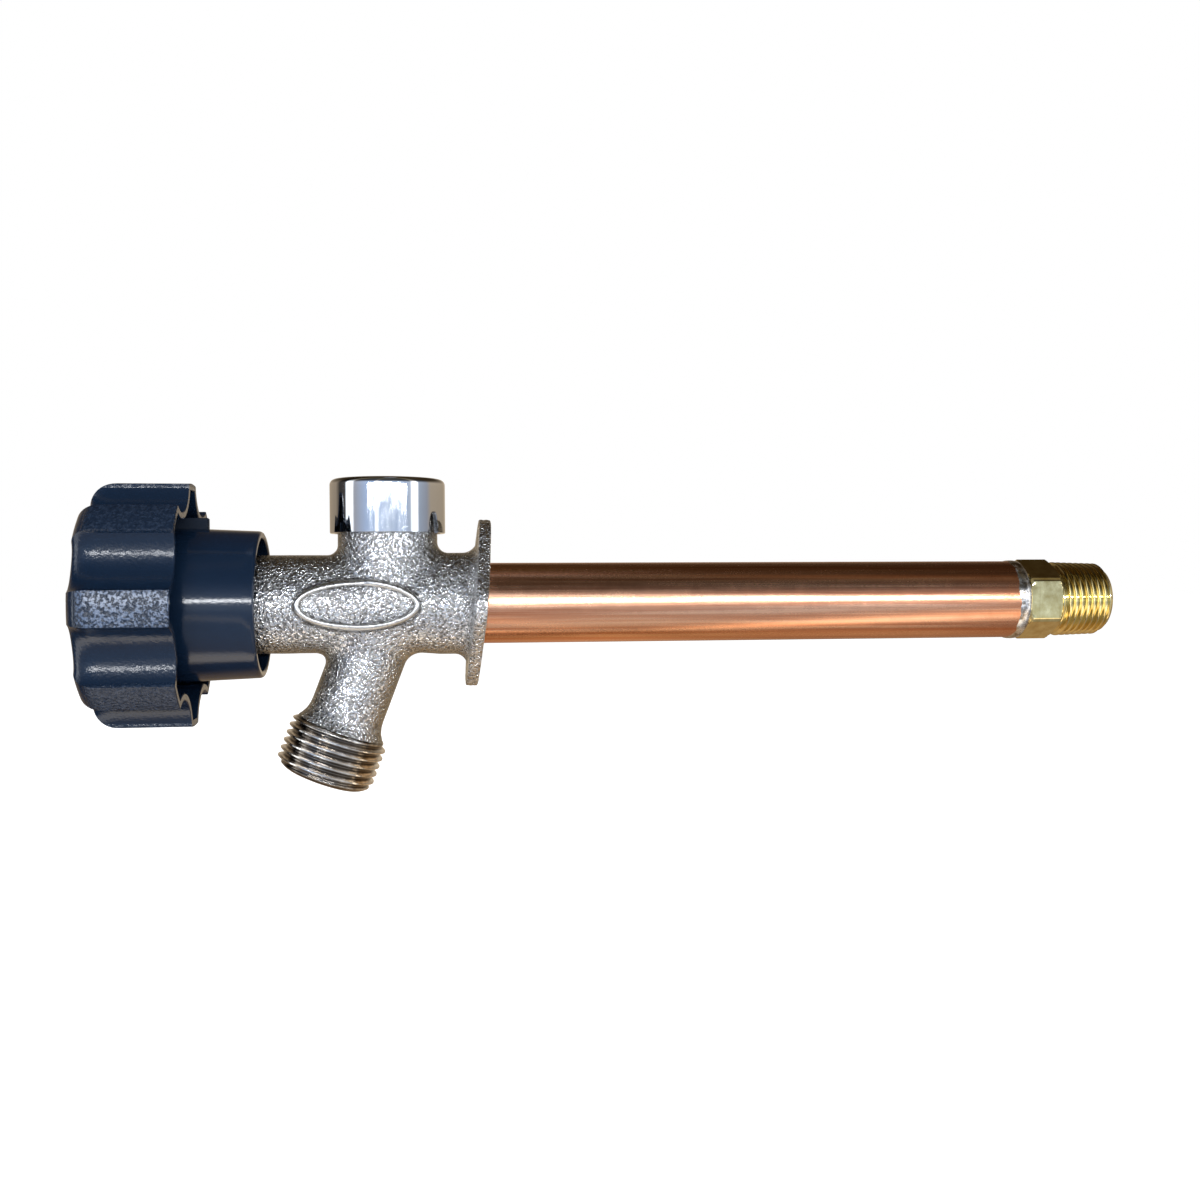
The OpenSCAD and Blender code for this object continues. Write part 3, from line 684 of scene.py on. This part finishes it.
def hose_metal(n):
    place = place_of(n)
    wear = noise(n, place, 420, 3, 0.6)
    fine = noise(n, place, 1900, 2, 0.5)
    # distance from the spout's axis, which tells crests from roots; the roots are given painted
    # shade, darkened toward near black
    middle = (BRANCH_X * MM, 0, 0)
    arm = n.add("ShaderNodeVectorMath", {"operation": "SUBTRACT"}, n0=place, n1=middle)["Vector"]
    span = n.add("ShaderNodeVectorMath", {"operation": "CROSS_PRODUCT"}, n0=arm,
                 n1=SPOUT)["Vector"]
    out = n.add("ShaderNodeVectorMath", {"operation": "LENGTH"}, n0=span)["Value"]
    root_shade = level(n, out + wear * 0.0004, 0.01245, 0.0129, 1.0, 0.0)
    colour = blend(n, level(n, wear, 0.35, 0.65), (0.68, 0.63, 0.56, 1), (0.94, 0.93, 0.92, 1))
    # painted shade in the thread's roots
    colour = blend(n, root_shade * 0.85, colour, (0.10, 0.075, 0.05, 1))
    return {"Base Color": colour, "Metallic": 1.0,
            "Roughness": level(n, fine, 0.3, 0.7, 0.06, 0.17),
            "Normal": bump(n, fine + wear, 0.00005, 0.6)}


def turned_to(direction, origin):
    """Matrix that takes local Z to a direction, then moves to an origin, in metres"""
    turn = Vector((0, 0, 1)).rotation_difference(Vector(direction)).to_matrix().to_4x4()
    return Matrix.Translation(origin) @ turn


threads = thread_group()
hose_material = surface("hose_thread_nickel", hose_metal)
# the bored liner, from the thread's inner end over the mouth and back through the bore
hose_root, hose_length, hose_steps, hose_start = 12.01, 13.7, 192, 36.25
hose_liner = lathe_mesh("hose_liner", [
    (0, hose_root), (0.5, 8.0), (14.0, 8.0), (14.45, 8.4), (14.45, 10.6), (14.2, 11.2),
    (hose_length, hose_root)], hose_steps)
hose = baked(threads, {"Root": hose_root * MM, "Depth": 0.00144, "Pitch": 0.002209,
                       "Length": hose_length * MM, "Turns": 8, "Taper": 0.0,
                       "Fade start": 0.0014, "Fade end": 0.0012, "Segments": hose_steps,
                       "Rows": 128, "Material": hose_material}, hose_liner)
outward(hose)
hose.transform(turned_to(SPOUT, Vector((BRANCH_X * MM, 0, 0))
                         + Vector(SPOUT) * (hose_start * MM)))
mesh_object("hose_thread", hose, None, "body", sharp=48)


# Vacuum breaker cap
# Pressed brass cup with a bright chrome plate: rounded top edge, thin wall, and an arched notch on
# two sides of its open rim, by which it is levered off.
def chrome(n):
    place = place_of(n)
    swirl = noise(n, place, 60, 3, 0.55)
    fine = noise(n, place_of(n, (1, 1, 0.2)), 1400, 2, 0.5)
    return {"Base Color": blend(n, swirl, (0.7, 0.73, 0.77, 1), (0.8, 0.82, 0.85, 1)),
            "Metallic": 1.0, "Roughness": level(n, fine, 0.3, 0.7, 0.035, 0.075),
            "Normal": bump(n, swirl, 0.0004, 0.12)}


# (z, r) of the cup's section in mm: the outside from the open rim up, then the inside, with its
# collar, back down
cap_rim, cap_wall, cap_shoulder, cap_r, cap_round = 19.2, 19.35, 32.3, 15.55, 1.6
cap_outer = [(cap_rim, 15.35), (cap_wall, cap_r)]
cap_outer += [(cap_wall + (cap_shoulder - cap_wall) * i / 14, cap_r) for i in range(1, 15)]
cap_outer += [(cap_shoulder + cap_round * math.sin(t), cap_r - cap_round * (1 - math.cos(t)))
              for t in (math.radians(6 + 84 * i / 10) for i in range(11))]
cap_outer += [(33.93, 10.0), (33.97, 5.0), (33.98, 0.0)]
cap_inner = [(32.4, 0.0), (32.4, 8.05), (31.0, 8.05), (31.0, 9.4), (32.4, 9.4), (32.4, 13.6),
             (31.7, 14.35), (19.4, 14.35), (cap_rim, 14.55), (cap_rim, 15.35)]
# each notch: its place round the neck and half its width in degrees, its height and the level up
# to which the wall's points move, in mm
notches, notch_half, notch_rise, notch_clear = (-36.5, 143.5), 7.5, 5.6, 26
notch_steps = np.concatenate([np.arange(-9, 9.1, 0.5), [-7.6, -7.4, 7.4, 7.6]])
cap_angles = np.concatenate([np.arange(0, 360, 2.5), *[notch_steps + c for c in notches]]) % 360
cap_angles = np.unique(np.round(np.radians(cap_angles), 6))
cap_points, cap_faces = lathe(cap_outer + cap_inner, cap_angles)
cap_turn = np.degrees(np.arctan2(cap_points[:, 1], cap_points[:, 0]))
for centre in notches:
    away = np.abs((cap_turn - centre + 180) % 360 - 180) / notch_half
    arch = cap_rim + notch_rise * np.sqrt(np.clip(1 - away ** 3.2, 0, None))
    inside = (away < 1) & (np.hypot(cap_points[:, 0], cap_points[:, 1]) > 14)
    up = cap_points[:, 2]
    share = np.clip((up - cap_rim) / (notch_clear - cap_rim), 0, 1)
    cap_points[:, 2] = np.where(inside & (up < notch_clear),
                                arch + share * (notch_clear - arch), up)
cap_mesh = mesh_of("cap", cap_points, cap_faces)
weld(cap_mesh)
outward(cap_mesh)
cap_mesh.transform(Matrix.Translation((BRANCH_X * MM, 0, 0)))
chrome_material = surface("cap_chrome", chrome)
cap = mesh_object("breaker_cap", cap_mesh, chrome_material, "body", sharp=40)
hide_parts("vb_cap")


# Knob
# Moulded navy plastic: a turned blank with eight flutes cut in by rule, spark textured on the
# crests, hollow behind, with a long smooth sleeve over the end of the barrel and a gate tab.
def navy(n):
    place = place_of(n)
    axes = n.add("ShaderNodeSeparateXYZ", Vector=place)
    out = (axes["Y"] * axes["Y"] + axes["Z"] * axes["Z"]).math("SQRT")
    crest = level(n, out, 0.0315, 0.0321)
    rim = level(n, out, 0.0235, 0.026)
    stipple = noise(n, place, 1150, 2, 0.6)
    grain = n.add("ShaderNodeTexVoronoi", Vector=place, Scale=1300.0)["Distance"]
    rough = crest + rim * 0.3 + 0.11
    # painted highlight: the stipple is painted pale, with a coat, on the crest that faces the
    # front (-y), and faintly on the others
    front_crest_highlight = crest * level(n, axes["Y"], -0.03, -0.0265, 1.0, 0.12)
    height = stipple * rough + grain * crest * 0.7 + noise(n, place, 160, 2) * 0.1
    tone = noise(n, place, 55, 3, 0.6)
    colour = blend(n, tone, (0.0042, 0.0115, 0.028, 1), (0.006, 0.0155, 0.036, 1))
    painted_stipple_highlight = front_crest_highlight * level(n, stipple, 0.47, 0.6)
    # painted highlight: pale blue where the front crest's stipple stands high
    return {"Base Color": blend(n, painted_stipple_highlight, colour, (0.075, 0.115, 0.2, 1)),
            "Roughness": level(n, crest + rim * 0.2, 0.0, 1.2, 0.13, 0.3),
            "IOR": 1.5, "Specular IOR Level": 0.5, "Coat Roughness": 0.26,
            "Coat Weight": front_crest_highlight * level(n, stipple, 0.46, 0.58),
            "Normal": bump(n, height, 0.00022, 1.0)}


knob_material = surface("knob_navy", navy)
# (x, r) of the section in mm: the hub round the screw, the dished face, the rounded front edge and
# the crest, the rim, the wall's inside, then the sleeve outside and inside, and back to the hub
crest_r, crest_steps, wall_r = 32.55, 16, 30.75
fold = [(-83, 4.85), (-98, 4.85), (-98, 7.2), (-98.2, 7.5), (-102.7, 7.5), (-103, 7.8),
        (-103, 11.2), (-102.7, 11.5), (-102.0, 11.8), (-101.8, 12.2), (-101.8, 21.4),
        (-102.0, 21.8), (-102.8, 22.05), (-103, 22.4), (-103, 23.6), (-103, 24.9)]
fold += [(-96.5 - 6.5 * math.cos(t), 26.05 + 6.5 * math.sin(t))
         for t in np.linspace(0, math.pi / 2, 14)]
crest_start = len(fold)
fold += [(-96.5 + 18.7 * i / crest_steps, crest_r) for i in range(1, crest_steps + 1)]
rim_start = len(fold)
fold += [(-77.6, 32.35), (-77.6, 30.95)]
wall_start = len(fold)
fold += [(-77.8 - 15.2 * i / 12, wall_r) for i in range(13)]
fold += [(-95.4, 29.9), (-96.6, 28.4), (-96.6, 26.6), (-99.2, 24.9), (-99.6, 24.0)]
wall_end = len(fold)
fold += [(-99.6, 21.2)] + [(-99.2 + 21.6 * i / 6, 20.55) for i in range(7)]
fold += [(-77.6 + 17.4 * i / 8, 20.55 - 0.7 * i / 8) for i in range(1, 9)]
fold += [(-59.75, 19.72), (-59.45, 19.5), (-59.3, 19.2), (-59.3, 18.3)]
fold += [(-59.6 - 39.5 * i / 10, 18.0) for i in range(11)]
fold += [(-99.6, 17.5), (-99.6, 10.5), (-99.2, 10.0), (-83.3, 10.0), (-83, 9.7)]
# angles over half a lobe in degrees, denser where the crest's edge falls
flutes, half_lobe = 8, 22.5
sector = np.array([0, 1.5, 3, 4.5, 6, 7.5, 9, 10.5, 12, 13.2, 14.0, 14.4, 14.52, 14.66, 15.1, 15.9,
                   16.78, 17.6, 19.0, 20.7])
sector = np.concatenate([-sector[:0:-1], sector, [half_lobe]])
knob_angles = np.radians(np.concatenate([half_lobe * (1 + 2 * i) + sector
                                         for i in range(flutes)]))
blank = mesh_of("knob_blank", *lathe(fold, knob_angles, closed=True))
# how far each ring stands back by the wall's thickness, and how far it takes part in the flutes
radii, flute_floor = np.array(fold)[:, 1], 22.3
inset = np.zeros(len(fold))
inset[rim_start:wall_start] = 0.0, 0.88
inset[wall_start:wall_end] = 1
weight = np.clip((radii - flute_floor) / (crest_r - flute_floor), 0, 1)
weight[crest_start:wall_start] = 1
weight[wall_start:wall_end] = np.clip(
    (radii[wall_start:wall_end] - flute_floor) / (wall_r - flute_floor), 0, 1)
for label, values in (("inset", inset), ("weight", weight)):
    layer = blank.attributes.new(label, "FLOAT", "POINT")
    layer.data.foreach_set("value", np.repeat(values, len(knob_angles)).astype(np.float32))

# each flute is the bite of a round cutter, whose centre stands outside the crest
flute_tree, n, given = group("flutes", [("Count", FLOAT), ("Crest radius", FLOAT), ("Wall", FLOAT),
                                        ("Cutter centre", FLOAT), ("Cutter radius", FLOAT),
                                        ("Material", MATERIAL)])
spot = n.add("ShaderNodeSeparateXYZ", Vector=n.add("GeometryNodeInputPosition")["Position"])
pulled, share = (n.add("GeometryNodeInputNamedAttribute", {"data_type": "FLOAT"},
                       Name=label)["Attribute"] for label in ("inset", "weight"))
radius = (spot["X"] * spot["X"] + spot["Y"] * spot["Y"]).math("SQRT")
angle = spot["Y"].math("ARCTAN2", spot["X"])
pace = given["Count"].math("POWER", -1.0) * (2 * math.pi)
local = ((angle / pace).math("FRACT") - 0.5) * pace
cutter = given["Cutter radius"] + pulled * given["Wall"]
offset = given["Cutter centre"] * local.math("SINE")
depth_in = cutter * cutter - offset * offset
meets = depth_in.math("GREATER_THAN", 0.0)
floor_r = given["Cutter centre"] * local.math("COSINE")
floor_r = floor_r - depth_in.math("MAXIMUM", 0.0).math("SQRT")
limit = given["Crest radius"] - pulled * given["Wall"]
bite = (limit - floor_r).math("MAXIMUM", 0.0) * meets * share
scale = (radius - bite) / radius
where = n.add("ShaderNodeCombineXYZ", X=spot["X"] * scale, Y=spot["Y"] * scale,
              Z=spot["Z"])["Vector"]
fluted = n.add("GeometryNodeSetPosition", Geometry=given["Geometry"], Position=where)["Geometry"]
close_group(flute_tree, n, fluted, given["Material"])
knob_mesh = baked(flute_tree, {"Count": float(flutes), "Crest radius": crest_r * MM,
                               "Wall": 0.0018, "Cutter centre": 0.03675,
                               "Cutter radius": 0.0097, "Material": knob_material}, blank)
# the sections are turned about Z and then laid along X
Z_TO_X = Matrix.Rotation(math.radians(90), 4, "Y")
knob_mesh.transform(Z_TO_X)
outward(knob_mesh)
knob = mesh_object("knob_moulding", knob_mesh, None, "stem", sharp=24)
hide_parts("knob")


# painted shade: the knob's navy, made darker and less glossy for the gate tab
def shaded_tab_navy(n):
    grain = noise(n, place_of(n), 700, 3, 0.6)
    return {"Base Color": blend(n, grain, (0.003, 0.007, 0.016, 1), (0.006, 0.013, 0.028, 1)),
            "Roughness": level(n, grain, 0.3, 0.7, 0.5, 0.7), "Specular IOR Level": 0.2,
            "Normal": bump(n, grain, 0.0001, 0.6)}


# the gate tab, a bar with eased edges on top of the sleeve; its material is the knob's navy
# painted darker and duller, as painted shade
tab_middle, tab_size = (-0.0867, 0, 0.021), (0.0266, 0.0022, 0.0048)
tab = bmesh.new()
bmesh.ops.create_cube(tab, size=1, matrix=Matrix.Translation(tab_middle)
                      @ Matrix.Diagonal((*tab_size, 1)))
bmesh.ops.bevel(tab, geom=tab.edges, offset=0.00025, segments=2, affect="EDGES")
tab_mesh = bpy.data.meshes.new("tab")
tab.to_mesh(tab_mesh)
tab.free()
mesh_object("knob_tab", tab_mesh, surface("knob_tab_painted_shade", shaded_tab_navy), "stem", sharp=40)


# Copper tube
# Hard drawn copper, 7/8 inch over its wall, brazed at both ends. The die left fine lines along it,
# handling left soft spots, and the brazing heat darkened it towards the inlet.
def copper(n):
    place = place_of(n)
    axes = n.add("ShaderNodeSeparateXYZ", Vector=place)
    drawn = noise(n, place_of(n, (9, 620, 620)), 1.0, 4, 0.62)
    wide = noise(n, place_of(n, (14, 160, 160)), 1.0, 3, 0.55)
    spots = noise(n, place, 260, 3, 0.6)
    colour = blend(n, level(n, drawn, 0.34, 0.66), (0.72, 0.29, 0.15, 1), (0.97, 0.57, 0.37, 1))
    colour = blend(n, level(n, wide, 0.55, 0.8, 0.0, 0.2), colour, (0.42, 0.14, 0.065, 1))
    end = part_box("copper_tube")[1][0]
    heat = level(n, axes["X"], end - 0.025, end) * level(n, spots, 0.3, 0.7, 0.35, 1.0)
    colour = blend(n, heat * 0.6, colour, (0.5, 0.16, 0.05, 1))
    return {"Base Color": colour, "Metallic": 1.0,
            "Roughness": level(n, drawn + spots * 0.4, 0.4, 1.0, 0.19, 0.33),
            "Normal": bump(n, drawn + spots * 0.3, 0.00005, 0.7)}


copper_material = surface("drawn_copper", copper)
tube_start, tube_end = (corner[0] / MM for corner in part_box("copper_tube"))
tube_r, tube_bore_r, tube_steps = 11.1125, 9.9725, 60
tube_profile = [(tube_start + (tube_end - tube_start) * i / tube_steps, tube_r)
                for i in range(tube_steps + 1)]
tube_profile += [(z, tube_bore_r) for z in (tube_end, tube_end / 2, tube_start)]
tube = lathe_mesh("tube", tube_profile, 144, closed=True)
tube.transform(Z_TO_X)
outward(tube)
copper_tube = mesh_object("copper_pipe", tube, copper_material, "body", sharp=40)
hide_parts("copper_tube")


# Inlet fitting
# Turned from hexagon brass bar: the valve seat on its spigot inside the tube, a hexagon with
# turned corners, and a tapered pipe thread with a solder socket in it.
def brass(n):
    place = place_of(n)
    rings = noise(n, place_of(n, (1500, 60, 60)), 1.0, 3, 0.6)
    wear = noise(n, place, 330, 4, 0.6)
    colour = blend(n, level(n, wear, 0.35, 0.7), (0.74, 0.58, 0.24, 1), (0.95, 0.83, 0.45, 1))
    dull = level(n, rings, 0.6, 0.8, 0.0, 0.4)
    return {"Base Color": blend(n, dull, colour, (0.35, 0.24, 0.08, 1)), "Metallic": 1.0,
            "Roughness": level(n, wear, 0.3, 0.75, 0.05, 0.13),
            "Normal": bump(n, rings + wear * 0.6, 0.00002, 0.3)}


brass_material = surface("bar_brass", brass)
# (z, r) of the section in mm, z from the tube's end: seat and spigot, hexagon, water bore
hex_end, half_flats = 12.4, 10.32
hex_profile = [(-15.4, 5.5), (-15.4, 7.5), (-14.2, 7.5), (-14.2, 9.6), (-13.9, 9.9), (2.4, 9.9),
               (2.6, 10.2), (2.6, 10.9), (2.7, 10.7), (3.1, 11.2)]
hex_profile += [(3.5 + 8.2 * i / 10, 11.6) for i in range(11)]
hex_profile += [(12.0, 11.3), (12.3, 10.8), (hex_end, 10.2), (hex_end, 8.5), (hex_end, 6.0),
                (-10.2, 6.0), (-10.2, 5.5)]
# angles over half a side in degrees, denser towards the corner, which the turned radius cuts off
sixth = np.array([0, 4, 8, 12, 16, 20, 22.5, 24.5, 26, 27, 28, 29, 29.6])
sixth = np.concatenate([-sixth[:0:-1], sixth, [30]])
hex_angles = np.radians(np.concatenate([30 + 60 * i + sixth for i in range(6)]))
hex_points, hex_faces = lathe(hex_profile, hex_angles, closed=True)
around = np.degrees(np.arctan2(hex_points[:, 1], hex_points[:, 0]))
flat_r = half_flats / np.cos(np.radians((around % 60) - 30))
turned_r = np.hypot(hex_points[:, 0], hex_points[:, 1])
hex_points[:, :2] *= (np.minimum(turned_r, flat_r) / turned_r)[:, None]
hexagon = mesh_of("hexagon", hex_points, hex_faces)
hexagon.transform(turned_to((1, 0, 0), (tube_end * MM, 0, 0)))
outward(hexagon)
inlet = mesh_object("inlet_hexagon", hexagon, brass_material, "body", sharp=20)
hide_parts("inlet_fitting")

# the liner of the pipe thread, with the solder socket
pipe_root, pipe_length, pipe_steps = 9.66, 15.6, 168
pipe_liner = lathe_mesh("pipe_liner", [
    (0, pipe_root), (0, 6.0), (3.3, 6.0), (3.3, 7.97), (15.7, 7.97), (16.0, 8.3), (16.0, 8.9),
    (pipe_length, 9.16)], pipe_steps)
pipe = baked(threads, {"Root": pipe_root * MM, "Depth": 0.00118, "Pitch": 0.001814,
                       "Length": pipe_length * MM, "Turns": 10, "Taper": -1 / 32,
                       "Fade start": 0.0016, "Fade end": 0.0012, "Segments": pipe_steps,
                       "Rows": 160, "Material": brass_material}, pipe_liner)
outward(pipe)
pipe.transform(turned_to((1, 0, 0), ((tube_end + hex_end) * MM, 0, 0)))
mesh_object("pipe_thread", pipe, None, "body", sharp=48)


# Brazed joint at the inlet
# Silver braze that ran round the joint between tube and hexagon and set with a ragged edge: a low
# bead that covers the tube's end.
def silver(n):
    place = place_of(n)
    flow = noise(n, place, 480, 4, 0.6)
    clean = level(n, flow, 0.38, 0.6)
    return {"Base Color": blend(n, clean, (0.35, 0.28, 0.2, 1), (0.88, 0.87, 0.85, 1)),
            "Metallic": 1.0, "Roughness": level(n, flow, 0.3, 0.7, 0.16, 0.34),
            "Normal": bump(n, flow, 0.0002, 0.7)}


# the bead's section: share of its length and height over the tube in mm, and how length and height
# swing as it goes round
bead = [(0.0, 0.0), (0.12, 0.18), (0.3, 0.3), (0.55, 0.34), (0.8, 0.26), (1.0, 0.0)]
bead_angles = np.linspace(0, 2 * math.pi, 144, endpoint=False)
swing = (0.45 * np.sin(3 * bead_angles + 0.7) + 0.3 * np.sin(7 * bead_angles + 2)
         + 0.22 * np.sin(13 * bead_angles) + 0.14 * np.sin(23 * bead_angles + 1))
start_x, end_x = -0.6 - 0.55 * swing, 2.95 + 0.12 * swing
bead_rings = [(start_x + (end_x - start_x) * share_x, 11.09 + height * (1 + 0.35 * swing))
              for share_x, height in bead]
# its far edge tucks in against the hexagon, and its inside lies in the joint
bead_rings[-1] = (bead_rings[-1][0], 10.6)
bead_rings += [(2.9, 10.0), (0, 10.0), (0, 10.9)]
bead_points = np.concatenate([
    np.stack([at_r * np.cos(bead_angles), at_r * np.sin(bead_angles), at_x + 0 * bead_angles], 1)
    for at_x, at_r in bead_rings])
bead_mesh = mesh_of("bead", bead_points, ring_faces(len(bead_rings), len(bead_angles), True))
bead_mesh.transform(turned_to((1, 0, 0), (tube_end * MM, 0, 0)))
outward(bead_mesh)
silver_material = surface("braze_silver", silver)
braze = mesh_object("braze_bead", bead_mesh, silver_material, "body", sharp=60)
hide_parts("inlet_braze_ring")


# Working parts inside
# Bonnet, packing, stem, seat disc and the vacuum breaker's inside keep their modelled shapes, and
# so does the braze behind the flange. They are brass, black rubber, white acetal, steel and braze.
def rubber(n):
    grain = noise(n, place_of(n), 900, 3, 0.6)
    return {"Base Color": blend(n, grain, (0.012, 0.012, 0.013, 1), (0.035, 0.034, 0.033, 1)),
            "Roughness": level(n, grain, 0.3, 0.7, 0.5, 0.75),
            "Normal": bump(n, grain, 0.00005, 0.6)}


def acetal(n):
    grain = noise(n, place_of(n), 240, 3, 0.6)
    return {"Base Color": blend(n, grain, (0.74, 0.73, 0.69, 1), (0.84, 0.83, 0.8, 1)),
            "Roughness": level(n, grain, 0.3, 0.7, 0.32, 0.48),
            "Normal": bump(n, grain, 0.00006, 0.4)}


def steel(n):
    grain = noise(n, place_of(n, (1, 1, 0.12)), 1500, 3, 0.6)
    return {"Base Color": blend(n, grain, (0.42, 0.42, 0.43, 1), (0.66, 0.66, 0.67, 1)),
            "Metallic": 1.0, "Roughness": level(n, grain, 0.3, 0.7, 0.22, 0.4),
            "Normal": bump(n, grain, 0.00003, 0.6)}


rubber_material = surface("black_rubber", rubber)
acetal_material = surface("white_acetal", acetal)
steel_material = surface("bright_steel", steel)
inside = {
    brass_material: ("bonnet", "packing_nut", "packing_washer", "operating_stem",
                     "seat_disc_holder", "seat_screw", "vb_bonnet"),
    rubber_material: ("bonnet_oring", "packing_ring", "seat_washer", "vb_bonnet_oring", "vb_seal"),
    acetal_material: ("stem_guide", "vb_float"),
    steel_material: ("swivel_ring", "knob_washer", "knob_screw"),
    silver_material: ("body_braze_ring",),
}
for material, names in inside.items():
    for name in names:
        node = bpy.data.objects[name]
        node.data.materials.clear()
        node.data.materials.append(material)
